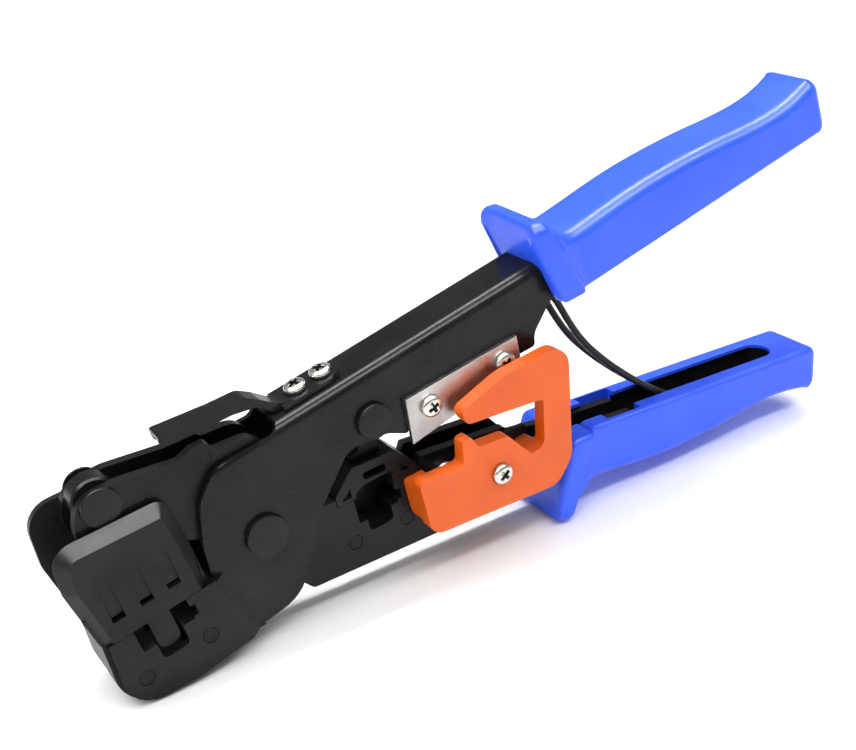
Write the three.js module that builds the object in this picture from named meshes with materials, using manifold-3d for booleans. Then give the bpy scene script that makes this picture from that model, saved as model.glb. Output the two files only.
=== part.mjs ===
// A modular-plug crimping tool: two pliers-like frames on one rivet, a crimping head at the nose for
// eight-way plugs, a second die behind the rivet for six-way plugs, and a cutter under a safety guard.
// Millimetres. X runs from the nose to the handles, Y across the tool, Z up. While the pieces are being
// made the main rivet is the origin; at the end the tool is leaned until jaw and lower grip both stand
// on the ground, and its base centre becomes the origin.
import * as THREE from "three";
import { mergeVertices } from "three/addons/utils/BufferGeometryUtils.js";
import Module from "manifold-3d";

const wasm = await Module();
wasm.setup();

// ---------------------------------------------------------------- driving dimensions
const bodyWidth = 13.5; // over the two cheeks of the upper frame
const sheet = 1.5; // its steel
const leverSheet = 2.3; // steel of the lower frame, which works between the cheeks
const headWall = 2.65; // each wall of the crimping head
const gripWall = 1.5; // plastic over the side of a handle
const flangeLip = 2.5; // how far a finger flange stands out past the grip's side
const upperGripLength = 77;
const lowerGripLength = 73.5;
const slotWidth = 8.1; // the spring's slot along the inner side of a grip
const runGap = 0.3; // between pieces that move past each other
const fitGap = 0.1; // between pieces fixed to each other

const pivotRadius = 3; // shank of the main rivet
const pivotHead = 4.8;
const driveRadius = 3; // shank of the rivet that drives the rear punch
const driveHead = 4.1;
const rivetHeadHeight = 1.3;
const noseRadius = 3; // shank of the pin at the nose end of the levers
const noseHead = 4.2;
const noseHeadHeight = 0.8;
const rollerRadius = 5;

const bladeSheet = 1.2; // cutting blade on the front cheek
const anvilSheet = 1.5; // counter blade on the lower frame
const guardSheet = 3.6; // front wall of the safety guard
const screwHead = 2.5; // radius of a pan head
const screwHeadHeight = 1.5;
const screwShank = 1.2;
const strapSheet = 1.2; // the bent strap on the spine
const strapWidth = 8;

const plugWidth = 12.2; // front die, between the sides of its cavity
const plugDepth = 5.7; // from the parting line down to the cavity's shoulders
const headTilt = 5.5; // degrees: the front die and its punch lean this much to the handles' line
const smallPlugWidth = 10.1; // rear die
const smallPlugDepth = 6.3;
const wireRadius = 0.85; // return spring
const legOffset = 2.9; // each spring leg from the middle plane

// Places in the side plane, [x, z] from the main rivet.
const nosePin = [-29.3, 22.5];
const drivePin = [29.8, 13.3];
const springPin = [77.5, 24.8];
const springPinRadius = 1.5;
const headLeft = -42.5; // nose edge of the crimping head, at its top
const headTop = 18.9; // top of the front wall
const backWallRise = 3.4; // the back wall stands this much higher
const diePlace = [-26.8, -4.2]; // middle of the front die, on the parting line
const jawBottom = -23.6; // lowest face of the die block under the nose
const blockRim = 0.9; // how far the die block stands out past the front plate

// ---------------------------------------------------------------- widths that follow
const bodyHalf = bodyWidth / 2;
const cheekInner = bodyHalf - sheet;
const leverOuter = cheekInner - runGap;
const leverInner = leverOuter - leverSheet;
const noseOuter = leverOuter + fitGap + noseHeadHeight;
const headInner = noseOuter + runGap;
const headHalf = headInner + headWall;
const gripHalf = bodyHalf + gripWall;
const flangeHalf = gripHalf + flangeLip;
const bladeInner = bodyHalf + fitGap;
const bladeOuter = bladeInner + bladeSheet;
const anvilInner = leverOuter + fitGap;
const anvilOuter = anvilInner + anvilSheet;
const guardInner = bladeOuter + fitGap + screwHeadHeight + runGap;
const guardOuter = guardInner + guardSheet;

// The top of the upper frame is one straight line in the side plane.
const spineSlope = 0.115;
const spineStart = 9.6;
const spineEnd = 72 + upperGripLength;
const spineRise = 21.25;
const bendRadius = 2.6;
const spineTop = (x) => spineRise + spineSlope * x;
const spineAngle = Math.atan(spineSlope);

// ---------------------------------------------------------------- making solids
// A closed three.js geometry as a solid that can be joined and cut.
function solid(geometry) {
  const bare = geometry.clone();
  bare.deleteAttribute("normal");
  bare.deleteAttribute("uv");
  const merged = mergeVertices(bare, 1e-4);
  return new wasm.Manifold(
    new wasm.Mesh({
      numProp: 3,
      vertProperties: new Float32Array(merged.attributes.position.array),
      triVerts: new Uint32Array(merged.index.array),
    }),
  );
}

// A closed outline from corners [x, z, radius]; a corner with a radius becomes a true arc.
function outline(corners) {
  const shape = new THREE.Shape();
  const point = ([x, z]) => new THREE.Vector2(x, z);
  const reachTo = (p) =>
    shape.curves.length || shape.currentPoint.lengthSq() ? shape.lineTo(p.x, p.y) : shape.moveTo(p.x, p.y);
  corners.forEach((entry, i) => {
    const corner = point(entry);
    const radius = entry[2] ?? 0;
    if (!radius) {
      reachTo(corner);
      return;
    }
    const before = corners.at(i - 1);
    const after = corners[(i + 1) % corners.length];
    const back = point(before).sub(corner);
    const ahead = point(after).sub(corner);
    const room = Math.min(
      back.length() * (before[2] ? 0.49 : 0.98),
      ahead.length() * (after[2] ? 0.49 : 0.98),
    );
    back.normalize();
    ahead.normalize();
    const half = Math.acos(THREE.MathUtils.clamp(back.dot(ahead), -1, 1)) / 2;
    const reach = Math.min(radius / Math.tan(half), room);
    const arc = reach * Math.tan(half);
    const start = corner.clone().addScaledVector(back, reach);
    const end = corner.clone().addScaledVector(ahead, reach);
    const inward = back.clone().add(ahead).normalize();
    const centre = corner.clone().addScaledVector(inward, arc / Math.sin(half));
    const from = start.clone().sub(centre).angle();
    const to = end.clone().sub(centre).angle();
    reachTo(start);
    shape.absarc(centre.x, centre.y, arc, from, to, back.cross(ahead) > 0);
  });
  shape.closePath();
  return shape;
}

// A turned frame in the side plane: it gives [x, z] for u along its first axis and v along its second.
function turnedFrame([x, z], degrees, side = 1) {
  const angle = THREE.MathUtils.degToRad(degrees);
  const along = [Math.cos(angle), Math.sin(angle)];
  const out = [-along[1] * side, along[0] * side];
  return (u, v) => [x + u * along[0] + v * out[0], z + u * along[1] + v * out[1]];
}

// The same corners, given in a turned frame.
const placed = (place, corners) => corners.map(([u, v, radius = 0]) => [...place(u, v), radius]);

// A flat piece with the given outline in the side plane, from low to high across the tool.
function slab(shape, low, high, arcSteps = 5) {
  const options = { depth: high - low, bevelEnabled: false, curveSegments: arcSteps };
  const geometry = new THREE.ExtrudeGeometry(shape, options);
  geometry.rotateX(Math.PI / 2);
  geometry.translate(0, high, 0);
  return solid(geometry);
}

// The same flat piece on both sides of the middle plane, as [front, back].
function pair(shape, inner, outer, arcSteps) {
  return [slab(shape, -outer, -inner, arcSteps), slab(shape, inner, outer, arcSteps)];
}

const centred = (shape, half, arcSteps) => slab(shape, -half, half, arcSteps);

// A round bar across the tool.
function rod([x, z], radius, low, high, sides = 24) {
  const geometry = new THREE.CylinderGeometry(radius, radius, high - low, sides);
  geometry.translate(x, (low + high) / 2, z);
  return solid(geometry);
}

const drill = ([x, z], radius, sides = 24) => rod([x, z], radius, -flangeHalf, flangeHalf, sides);

// A box from its lowest to its highest corner.
function block([x0, y0, z0], [x1, y1, z1]) {
  const geometry = new THREE.BoxGeometry(x1 - x0, y1 - y0, z1 - z0);
  geometry.translate((x0 + x1) / 2, (y0 + y1) / 2, (z0 + z1) / 2);
  return solid(geometry);
}

// A turned piece on an axis across the tool, from [radius, y] pairs that start and end on the axis.
function turned([x, z], profile, sides = 28) {
  const points = profile.map(([radius, y]) => new THREE.Vector2(radius, y));
  const geometry = new THREE.LatheGeometry(points, sides);
  geometry.translate(x, 0, z);
  return solid(geometry);
}

const unite = (pieces) => pieces.reduce((whole, piece) => whole.add(piece));
const cut = (whole, pieces) => pieces.reduce((rest, piece) => rest.subtract(piece), whole);

// A rivet or headed pin: a shank with a bevelled head outside the plates on each side.
function rivet(centre, shank, head, seat, height) {
  const top = seat + height;
  const bevel = Math.min(0.35, height / 2);
  return turned(centre, [
    [0, -top],
    [head - bevel, -top],
    [head, -top + bevel],
    [head, -seat],
    [shank, -seat],
    [shank, seat],
    [head, seat],
    [head, top - bevel],
    [head - bevel, top],
    [0, top],
  ]);
}

// A pan-head screw with a cross recess: its head stands on y = 0 towards +Y.
function panScrew(length) {
  const dome = screwHeadHeight * 0.55;
  const body = turned([0, 0], [
    [0, -length],
    [screwShank, -length],
    [screwShank, 0],
    [screwHead, 0],
    [screwHead, dome],
    [screwHead * 0.88, dome + screwHeadHeight * 0.27],
    [screwHead * 0.6, screwHeadHeight * 0.97],
    [0, screwHeadHeight],
  ], 20);
  const arm = screwHead * 0.62;
  const half = screwHead * 0.14;
  const floor = screwHeadHeight * 0.35;
  const over = screwHeadHeight + runGap;
  return cut(body, [
    block([-arm, floor, -half], [arm, over, half]),
    block([-half, floor, -arm], [half, over, arm]),
  ]);
}

// ---------------------------------------------------------------- materials
const finish = (color, roughness, metalness) =>
  new THREE.MeshStandardMaterial({ color, roughness, metalness });
const blackSteel = () => finish(0x2b2b2d, 0.45, 0.6);
const darkDie = () => finish(0x242426, 0.5, 0.5);
const brightSteel = () => finish(0xc9c8c4, 0.3, 0.95);
const brushedBlade = () => finish(0xb9b5b0, 0.35, 0.9);
const springSteel = () => finish(0x1d1d1f, 0.4, 0.7);
const bluePlastic = () => finish(0x2f63e8, 0.35, 0);
const orangePlastic = () => finish(0xf0642c, 0.45, 0);

const tool = new THREE.Group();

// One named piece of the tool.
function add(name, shape, material, position = [0, 0, 0], rotation = [0, 0, 0]) {
  const made = shape.getMesh();
  const geometry = new THREE.BufferGeometry();
  geometry.setAttribute("position", new THREE.BufferAttribute(made.vertProperties, made.numProp));
  geometry.setIndex(new THREE.BufferAttribute(made.triVerts, 1));
  geometry.computeVertexNormals();
  const mesh = new THREE.Mesh(geometry, material);
  mesh.name = name;
  mesh.position.set(...position);
  mesh.rotation.set(...rotation);
  tool.add(mesh);
}

// ---------------------------------------------------------------- grips
// A grip is drawn in its own frame: u runs along its inner face from the flange to the tail and v
// stands away from the other handle. side is +1 for the upper grip and -1 for the lower one.
const upperPlace = turnedFrame([87.6, 19.8], 7.6, 1);
const lowerPlace = turnedFrame([82.9, -15.1], -9.3, -1);
const slotDepth = 5.75;
const flangeHeight = 22;
const flangeTipRadius = 1.6;
const flangeTip = [-8.95, flangeHeight - flangeTipRadius]; // centre of the round that meets the ground

function gripSolid(place, length, neck, tail, lip, pocket, notchCut) {
  const back = [
    [-4, 15.6],
    [0.05 * length, 14.6],
    [0.3 * length, 15.1],
    [0.52 * length, (15.1 + neck) / 2 + 0.6],
    [0.76 * length, neck],
    [0.88 * length, neck + 0.1],
    [0.97 * length, tail],
  ];
  const profile = new THREE.Shape();
  const at = (u, v) => new THREE.Vector2(...place(u, v));
  profile.moveTo(...place(-8.3, 0));
  profile.lineTo(...place(-8.3, 14));
  profile.lineTo(...place(...back[0]));
  profile.splineThru(back.slice(1).map(([u, v]) => at(u, v)));
  profile.lineTo(...place(length, tail - 2.2));
  profile.lineTo(...place(length, 3.2));
  profile.lineTo(...place(length - 3.6, 0));
  profile.closePath();
  const flange = outline(
    placed(place, [
      [-8.3, 0.3, 0.8],
      [-9.6, 8, 12],
      [-lip, 19.6, 2],
      [1.8 - lip, flangeHeight, flangeTipRadius],
      [-8, flangeHeight, flangeTipRadius],
      [-5.8, 18, 10],
      [-0.4, 2.4, 1],
      [-0.8, 0, 0.8],
    ]),
  );
  const slotEnd = length - 11;
  const slot = outline(
    placed(place, [
      [-20, -2],
      [slotEnd, -2],
      [slotEnd, slotDepth, 0.2],
      [-20, slotDepth],
    ]),
  );
  return cut(centred(profile, gripHalf, 1).add(centred(flange, flangeHalf, 5)), [
    pocket,
    centred(slot, slotWidth / 2),
    ...notchCut,
  ]);
}

// ---------------------------------------------------------------- upper frame
const headPlace = turnedFrame(diePlace, headTilt);
const plateLeft = headPlace(-11.7, 0);
const creaseTop = headPlace(13.2, 0);
const creaseFoot = [-10, -20.6];
// Outline of a cheek with its part of the handle, from the spine's front end round to the left edge.
const upperHandleEnd = upperPlace(upperGripLength - 12, 3.2);
const upperHandleStart = upperPlace(-8, 2.6);
const cheekOutline = outline([
  [spineStart, spineTop(spineStart), 0],
  [spineEnd, spineTop(spineEnd), 0],
  [spineEnd, upperHandleEnd[1], 0],
  [upperHandleStart[0], upperHandleStart[1], 8],
  [72.8, 14.6, 8],
  [72.4, 11.6, 1],
  [39.2, 10.2, 0.5],
  [37, 6.2, 0.8],
  [32.4, 8.6, 4],
  [22.6, 9.4, 5],
  [12.8, -1.4, 14],
  [3.6, -18.2, 9],
  [-9.4, -20.7, 5],
  [creaseFoot[0] - 1, creaseFoot[1], 0],
  [creaseTop[0], creaseTop[1], 0],
  [-13.4, 4, 12],
  [-11.2, 14, 8],
  [-6, 19.6, 6],
  [spineStart - 1.6, 20.3, 1.5],
]);
const hollowOutline = outline([
  [-60, 60],
  [spineStart, 60],
  [spineStart, spineTop(spineStart) - sheet],
  [spineEnd + 5, spineTop(spineEnd + 5) - sheet],
  [spineEnd + 5, -60],
  [-60, -60],
]);
const jawPlateOutline = outline([
  [...plateLeft, 0],
  [plateLeft[0], -22.6, 9],
  [-24, -22.8, 12],
  [...creaseFoot, 0],
  [...creaseTop, 0],
]);

// The cavity for a plug: a wide pocket with shoulders and a narrower channel for the plug's latch.
function plugCavity(place, width, depth, latch, latchDepth) {
  const right = width / 2;
  const latchLeft = -latch / 2;
  return outline(
    placed(place, [
      [-right, 3],
      [-right, -depth, 0.3],
      [latchLeft, -depth],
      [latchLeft, -depth - latchDepth, 1.2],
      [latchLeft + latch, -depth - latchDepth, 1.2],
      [latchLeft + latch, 0.4 - depth],
      [right, 0.4 - depth],
      [right, 1 - depth],
      [right + 1.2, 1 - depth, 0.2],
      [right + 1.2, 3.6 - depth, 0.2],
      [right, 3.6 - depth],
      [right, 3],
    ]),
  );
}

const latchWidth = 6.2;
const frontCavity = plugCavity(headPlace, plugWidth, plugDepth, latchWidth, 4.2);
const blockCavity = plugCavity(headPlace, plugWidth, plugDepth, latchWidth, 7.2);
const rearDieLeft = 21.4;
const rearParting = -3.9;
const rearPlace = turnedFrame([rearDieLeft + smallPlugWidth / 2, rearParting], 0);
const rearCavity = plugCavity(rearPlace, smallPlugWidth, smallPlugDepth, latchWidth, 3.2);

const jawPins = [
  [-33.6, -16.4],
  [-18.4, -14.6],
];
const rearDiePins = [
  [19.3, -14.2],
  [32.6, -14.8],
];
const smallPinRadius = 1.7;
const bladeScrews = [
  [43.1, 10.9],
  [63, 12.3],
];
const strapScrewPlaces = [17.6, 23.9];
const anvilScrew = [43.2, -7];
const guardScrew = [53.6, -10];

// A sheet-metal joggle: it carries each cheek out to the wider jaw plate.
function joggle(side) {
  const step = headHalf - bodyHalf;
  const crease = -1.9; // where the outer face starts to bend
  const shape = new THREE.Shape();
  shape.moveTo(crease, side * headHalf);
  shape.lineTo(0.6, side * bodyHalf);
  shape.lineTo(2.2, side * bodyHalf);
  shape.lineTo(2.2, side * cheekInner);
  shape.lineTo(0.2, side * cheekInner);
  shape.lineTo(-2.3, side * (cheekInner + step));
  shape.lineTo(-3.6, side * (cheekInner + step));
  shape.lineTo(-3.6, side * headHalf);
  shape.closePath();
  const low = creaseFoot[1];
  const high = creaseTop[1] - 0.4;
  const geometry = new THREE.ExtrudeGeometry(shape, { depth: high - low, bevelEnabled: false });
  const lean = (creaseTop[0] - creaseFoot[0]) / (high - low);
  geometry.applyMatrix4(new THREE.Matrix4().makeShear(0, 0, 0, 0, lean, 0));
  geometry.translate(creaseFoot[0] - crease, 0, low);
  return solid(geometry);
}

const strapScrewHoles = () =>
  strapScrewPlaces.map((x) => {
    const hole = new THREE.CylinderGeometry(screwShank + fitGap, screwShank + fitGap, 12, 16);
    hole.rotateX(Math.PI / 2);
    hole.rotateY(-spineAngle);
    hole.translate(x, 0, spineTop(x));
    return solid(hole);
  });

function upperFrame() {
  const bend = new THREE.Shape();
  const deep = 80;
  const corner = bodyHalf - bendRadius;
  bend.moveTo(deep, -bodyHalf);
  bend.lineTo(bendRadius, -bodyHalf);
  bend.absarc(bendRadius, -corner, bendRadius, -Math.PI / 2, -Math.PI, true);
  bend.lineTo(0, corner);
  bend.absarc(bendRadius, corner, bendRadius, Math.PI, Math.PI / 2, true);
  bend.lineTo(deep, bodyHalf);
  bend.closePath();
  const reach = 230;
  const roof = new THREE.ExtrudeGeometry(bend, { depth: reach, bevelEnabled: false, curveSegments: 3 });
  roof.rotateY(Math.PI / 2);
  roof.rotateY(-spineAngle);
  roof.translate(-60, 0, spineTop(-60));
  const shell = centred(cheekOutline, bodyHalf).intersect(solid(roof));
  const cheeks = shell.subtract(centred(hollowOutline, cheekInner));
  const jaws = pair(jawPlateOutline, headHalf - sheet, headHalf);
  const frame = unite([cheeks, ...jaws, joggle(-1), joggle(1)]);
  return cut(frame, [
    drill([0, 0], pivotRadius + fitGap),
    drill(drivePin, driveRadius + fitGap),
    drill(springPin, springPinRadius + fitGap, 16),
    ...jawPins.map((place) => drill(place, smallPinRadius + fitGap, 16)),
    ...bladeScrews.map((place) => rod(place, screwShank + fitGap, -bodyHalf - 1, 0, 16)),
    ...strapScrewHoles(),
    centred(frontCavity, flangeHalf),
  ]);
}

add("upper_frame", upperFrame(), blackSteel());

// ---------------------------------------------------------------- lower front die and its pins
const blockLeft = -38.5 - blockRim;
const jawCornerRadius = 9.8;
const blockTopLeft = headPlace((blockLeft - diePlace[0]) / Math.cos(THREE.MathUtils.degToRad(headTilt)), 0);
const dieBlock = outline([
  [...blockTopLeft, 0],
  [blockLeft, jawBottom, jawCornerRadius],
  [-30.2, jawBottom, 0],
  [-30, -21.8, 0],
  [-14.6, -20.2, 0],
  [...headPlace(9.4, 0), 0],
]);
add(
  "front_die_block",
  cut(centred(dieBlock, headHalf - sheet - fitGap, 8), [
    centred(blockCavity, flangeHalf),
    ...jawPins.map((place) => drill(place, smallPinRadius + fitGap, 16)),
  ]),
  darkDie(),
);
jawPins.forEach((place, i) => {
  const pin = rod(place, smallPinRadius, -headHalf, headHalf, 16);
  add("die_pin_" + (i ? "rear" : "nose"), pin, darkDie());
});

// ---------------------------------------------------------------- crimping head
// Drawn from the middle of the front die: u along the parting line, v up along the punch's travel.
const headFloor = 7.2; // top of the solid foot that guides the punch
const footLeft = headPlace(-12.8, fitGap);
const footRight = headPlace(12.2, fitGap);
const wallTop = (top, cornerRadius) =>
  outline([
    [...footLeft, 0],
    [headLeft, 9, 3],
    [headLeft + 0.3, top, cornerRadius],
    [footRight[0] - 3, top, 3],
    [footRight[0] - 1.4, 10, 5],
    [...footRight, 0],
  ]);
const punchSide = plugWidth / 2 - fitGap;
const punchHalf = leverOuter;
const tongueSheet = 1.3; // the tongue that holds the plug's latch down, in front of the punch
const tongueOuter = headHalf - sheet - runGap;

// The front wall's upper outer edge is a wide flat chamfer.
function headChamfer() {
  const width = 2.6;
  const shape = new THREE.Shape();
  shape.moveTo(-headTop - 1, -headHalf - 1);
  shape.lineTo(-headTop + width, -headHalf - 1);
  shape.lineTo(-headTop + width, -headHalf);
  shape.lineTo(-headTop, -headHalf + width);
  shape.lineTo(-headTop - 1, -headHalf + width);
  shape.closePath();
  const geometry = new THREE.ExtrudeGeometry(shape, { depth: 40, bevelEnabled: false });
  geometry.rotateY(Math.PI / 2);
  geometry.translate(-50, 0, 0);
  return solid(geometry);
}

// Recessed slots with round ends, one longer than the last, on the outside of both walls.
const wallSlots = [-6.9, -1, 5.1].map((u, i) => {
  const half = 1.6;
  const low = 4.3 + 0.2 * i;
  const high = 13.6 + 1.9 * i;
  return outline(
    placed(headPlace, [
      [u - half, low, half - 0.1],
      [u + half, low, half - 0.1],
      [u + half, high, half - 0.1],
      [u - half, high, half - 0.1],
    ]),
  );
});

function crimpingHead() {
  const front = slab(wallTop(headTop, 5), -headHalf, -headInner);
  const back = slab(wallTop(headTop + backWallRise, 6), headInner, headHalf);
  const reach = punchSide + runGap;
  const foot = outline(
    placed(headPlace, [
      [-12.8, fitGap],
      [-13.6, headFloor],
      [reach, headFloor],
      [11.6, 5.4],
      [12.2, fitGap],
    ]),
  );
  const channel = outline(
    placed(headPlace, [
      [-reach, -1],
      [-reach, headFloor + 1],
      [reach, headFloor + 1],
      [reach, -1],
    ]),
  );
  const recess = 0.7;
  const slots = wallSlots.flatMap((shape) => pair(shape, headHalf - recess, headHalf + 1, 3));
  const guide = centred(channel, punchHalf + runGap);
  const tongue = outline(
    placed(headPlace, [
      [-2.6, 1],
      [-2.6, -9, 2],
      [2.4, -9, 2],
      [2.4, 1],
    ]),
  );
  const walls = cut(unite([front, back, centred(foot, headInner + 1)]), [headChamfer(), guide, ...slots]);
  return walls.add(slab(tongue, -tongueOuter, tongueSheet - tongueOuter));
}

add("crimping_head", crimpingHead(), blackSteel());

// ---------------------------------------------------------------- front punch
// The punch fills the head's guide; a narrower stem stands up between the levers to the roller.
const stemHalf = leverInner - runGap;
const rollerPlace = 26.75; // the nose pin's height above the parting line
const stemTop = rollerPlace - rollerRadius - runGap;
const combFoot = 1.4;
const combHeight = 1.4;
const punchFoot = combFoot + combHeight + fitGap;

function frontPunch() {
  const body = outline(
    placed(headPlace, [
      [-punchSide, punchFoot],
      [-punchSide, headFloor - 0.4],
      [punchSide, headFloor - 0.4],
      [punchSide, punchFoot],
    ]),
  );
  const stem = outline(
    placed(headPlace, [
      [-3.6, punchFoot + 1],
      [-3.6, stemTop],
      [3.6, stemTop],
      [3.6, punchFoot + 1],
    ]),
  );
  return unite([centred(body, punchHalf), centred(stem, stemHalf)]);
}

add("front_punch", frontPunch(), darkDie());

// A comb of contact drivers hangs under a punch, one tooth for each contact.
const contactPitch = 1.1;
function contactComb(place, count, low, high, half) {
  const left = (-count / 2) * contactPitch;
  const notch = 0.3;
  const gapTop = low + (high - low) * 0.6;
  const corners = [[left, high], [left, low]];
  for (let i = 1; i < count; i += 1) {
    const u = left + i * contactPitch;
    corners.push([u - notch, low], [u - notch, gapTop], [u + notch, gapTop], [u + notch, low]);
  }
  corners.push([-left, low], [-left, high]);
  return centred(outline(placed(place, corners)), half);
}
add(
  "front_contact_comb",
  contactComb(headPlace, 8, combFoot, combFoot + combHeight, 3),
  brightSteel(),
);

// ---------------------------------------------------------------- rivets of the upper frame
add("main_rivet", rivet([0, 0], pivotRadius, pivotHead, bodyHalf + fitGap, rivetHeadHeight), blackSteel());
add("drive_rivet", rivet(drivePin, driveRadius, driveHead, bodyHalf + fitGap, rivetHeadHeight), blackSteel());
add("spring_pin", rod(springPin, springPinRadius, -bodyHalf, bodyHalf, 16), darkDie());

// ---------------------------------------------------------------- cutting blade
const bladeOutline = outline([
  [37.7, 14.8, 0],
  [37, 3.9, 0],
  [67.4, 9, 0],
  [67.4, 16.9, 0],
]);
add(
  "cutting_blade",
  cut(
    slab(bladeOutline, -bladeOuter, -bladeInner),
    bladeScrews.map((place) => rod(place, screwShank + fitGap, -bladeOuter - 1, 0, 16)),
  ),
  brushedBlade(),
);
const faceFront = [Math.PI, 0.35, 0];
bladeScrews.forEach(([x, z], i) => {
  const seat = -bladeOuter - fitGap;
  const length = bladeOuter + fitGap - cheekInner;
  add("blade_screw_" + (i ? "rear" : "front"), panScrew(length), brightSteel(), [x, seat, z], faceFront);
});

// ---------------------------------------------------------------- strap over the spine
// A pressed strip: a plate screwed down on the spine, and a narrower arm with turned-down edges that
// arches forward over the levers.
function strap() {
  const half = strapWidth / 2;
  const armHalf = 2.4;
  const tip = -13.7;
  const tail = 27.6;
  const neck = 12.6;
  const foot = (x, lift) => [x, spineTop(x) + fitGap + lift];
  const plate = outline([foot(neck, 0), foot(tail, 0), foot(tail, strapSheet), foot(neck, strapSheet)]);
  const top = [
    [...foot(neck + 2, strapSheet)],
    [...foot(neck, strapSheet), 4],
    [8.6, 27.3, 4],
    [5.6, 29.1, 3],
    [-1, 29.1, 20],
    [tip, 29.8, 0.5],
  ];
  const underside = [
    [tip, 29.8 - strapSheet],
    [-1, 29.1 - strapSheet, 20],
    [5, 29.1 - strapSheet, 3],
    [7.8, 27.2 - strapSheet, 3],
    [spineStart + 1.4, spineTop(neck) + fitGap, 1],
    [...foot(neck + 2, 0)],
  ];
  const web = [
    [tip, 29.8 - strapSheet + 0.2],
    [tip, 26.8, 1.4],
    [-5, 26.4, 4],
    [2, 26.7, 4],
    [7.4, 25.9, 1],
    [8.4, 26.3],
    [5.4, 28.6, 3],
    [-1, 28.6, 20],
  ];
  const arm = unite([
    centred(outline([...top, ...underside]), armHalf),
    ...pair(outline(web), armHalf - strapSheet, armHalf),
  ]);
  const rounding = new THREE.Shape();
  rounding.moveTo(neck - 1, -half);
  rounding.lineTo(tail - half, -half);
  rounding.absarc(tail - half, 0, half, -Math.PI / 2, Math.PI / 2, false);
  rounding.lineTo(neck - 1, half);
  rounding.closePath();
  const trim = new THREE.ExtrudeGeometry(rounding, { depth: 30, bevelEnabled: false, curveSegments: 8 });
  trim.translate(0, 0, 15);
  return cut(centred(plate, half).intersect(solid(trim)).add(arm), strapScrewHoles());
}

add("stop_strap", strap(), blackSteel());
strapScrewPlaces.forEach((x, i) => {
  const lift = (strapSheet + 2 * fitGap) * Math.cos(spineAngle);
  const drop = (strapSheet + 2 * fitGap) * Math.sin(spineAngle);
  const turn = new THREE.Euler().setFromQuaternion(
    new THREE.Quaternion().setFromUnitVectors(
      new THREE.Vector3(0, 1, 0),
      new THREE.Vector3(-Math.sin(spineAngle), 0, Math.cos(spineAngle)),
    ),
  );
  const place = [x - drop, 0, spineTop(x) + lift];
  const name = "strap_screw_" + (i ? "rear" : "front");
  add(name, panScrew(4), brightSteel(), place, [turn.x, turn.y, turn.z]);
});

// ---------------------------------------------------------------- upper grip
const upperPocket = centred(
  outline([
    [70, spineTop(70) + fitGap],
    [spineEnd + fitGap, spineTop(spineEnd + fitGap) + fitGap],
    [spineEnd + fitGap, upperHandleEnd[1] - fitGap],
    [upperHandleStart[0] - 2, upperHandleStart[1] - 1.2],
    [70, 17],
  ]),
  bodyHalf + fitGap,
);
add("upper_grip", gripSolid(upperPlace, upperGripLength, 12, 13.8, 11.2, upperPocket, []), bluePlastic());

// ---------------------------------------------------------------- lower frame
// Two lever plates that run from the nose pin past the main rivet into the lower handle, joined along
// the handle's outer side by a web.
const lowerEnd = lowerPlace(lowerGripLength - 12, 0);
const lowerWebEnd = lowerPlace(lowerGripLength - 12, 8.4);
const lowerWebMiddle = lowerPlace(22, 12.6);
const lowerTangTop = lowerPlace(16, 7.4);
const lowerTangEnd = lowerPlace(lowerGripLength - 12, 6.6);
const lowerNotch = lowerPlace(14.6, 1.4);
const lowerMouth = lowerPlace(-2, 1.2);
const webStart = 9;
const leverOutline = outline([
  [-36.4, 18, 7],
  [-33.6, 25.6, 6],
  [-24.6, 25.8, 8],
  [-11.8, 23.9, 1],
  [-8.6, 25.2, 1.5],
  [-5.4, 25.2, 1.5],
  [-4.2, 22.8, 1],
  [4.2, 22.2, 5],
  [12.6, 8, 6],
  [13.6, -1.9, 2],
  [17.3, -1.9, 0],
  [17.3, rearParting - fitGap, 0],
  [38.1, rearParting - fitGap, 0],
  [39.4, -1.8, 0],
  [61.4, -5.4, 1],
  [66, -12.4, 3],
  [73, -14, 0],
  [lowerMouth[0], lowerMouth[1], 0],
  [lowerNotch[0], lowerNotch[1], 1],
  [lowerTangTop[0], lowerTangTop[1], 0],
  [lowerTangEnd[0], lowerTangEnd[1], 1],
  [lowerWebEnd[0], lowerWebEnd[1], 1],
  [lowerWebMiddle[0], lowerWebMiddle[1], 30],
  [75, -26.4, 20],
  [40, -22.8, 0],
  [7.2, -19.6, 1.5],
  [5.2, -17, 1.5],
  [2.4, -9.2, 8],
  [-7.6, -6.4, 8],
  [-9.4, 3.6, 6],
  [-24, 10.4, 4],
  [-32, 10.6, 7],
]);
const webThickness = 2;
const trough = outline([
  [-60, 60],
  [200, 60],
  [lowerWebEnd[0] + 60, lowerWebEnd[1] + webThickness - 4],
  [lowerWebEnd[0], lowerWebEnd[1] + webThickness],
  [lowerWebMiddle[0], lowerWebMiddle[1] + webThickness],
  [75, -26.4 + webThickness],
  [40, -22.8 + webThickness],
  [webStart, -19.8 + webThickness],
  [webStart, -40],
  [-60, -40],
]);
add(
  "lower_frame",
  cut(centred(leverOutline, leverOuter, 3), [
    centred(trough, leverInner, 3),
    drill([0, 0], pivotRadius + 2 * fitGap),
    drill(nosePin, noseRadius + fitGap),
    ...rearDiePins.map((place) => drill(place, smallPinRadius + fitGap, 16)),
    ...[anvilScrew, guardScrew].map((place) => rod(place, screwShank + fitGap, -flangeHalf, 0, 16)),
    slab(rearCavity, -flangeHalf, leverInner, 3),
  ]),
  blackSteel(),
);

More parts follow.
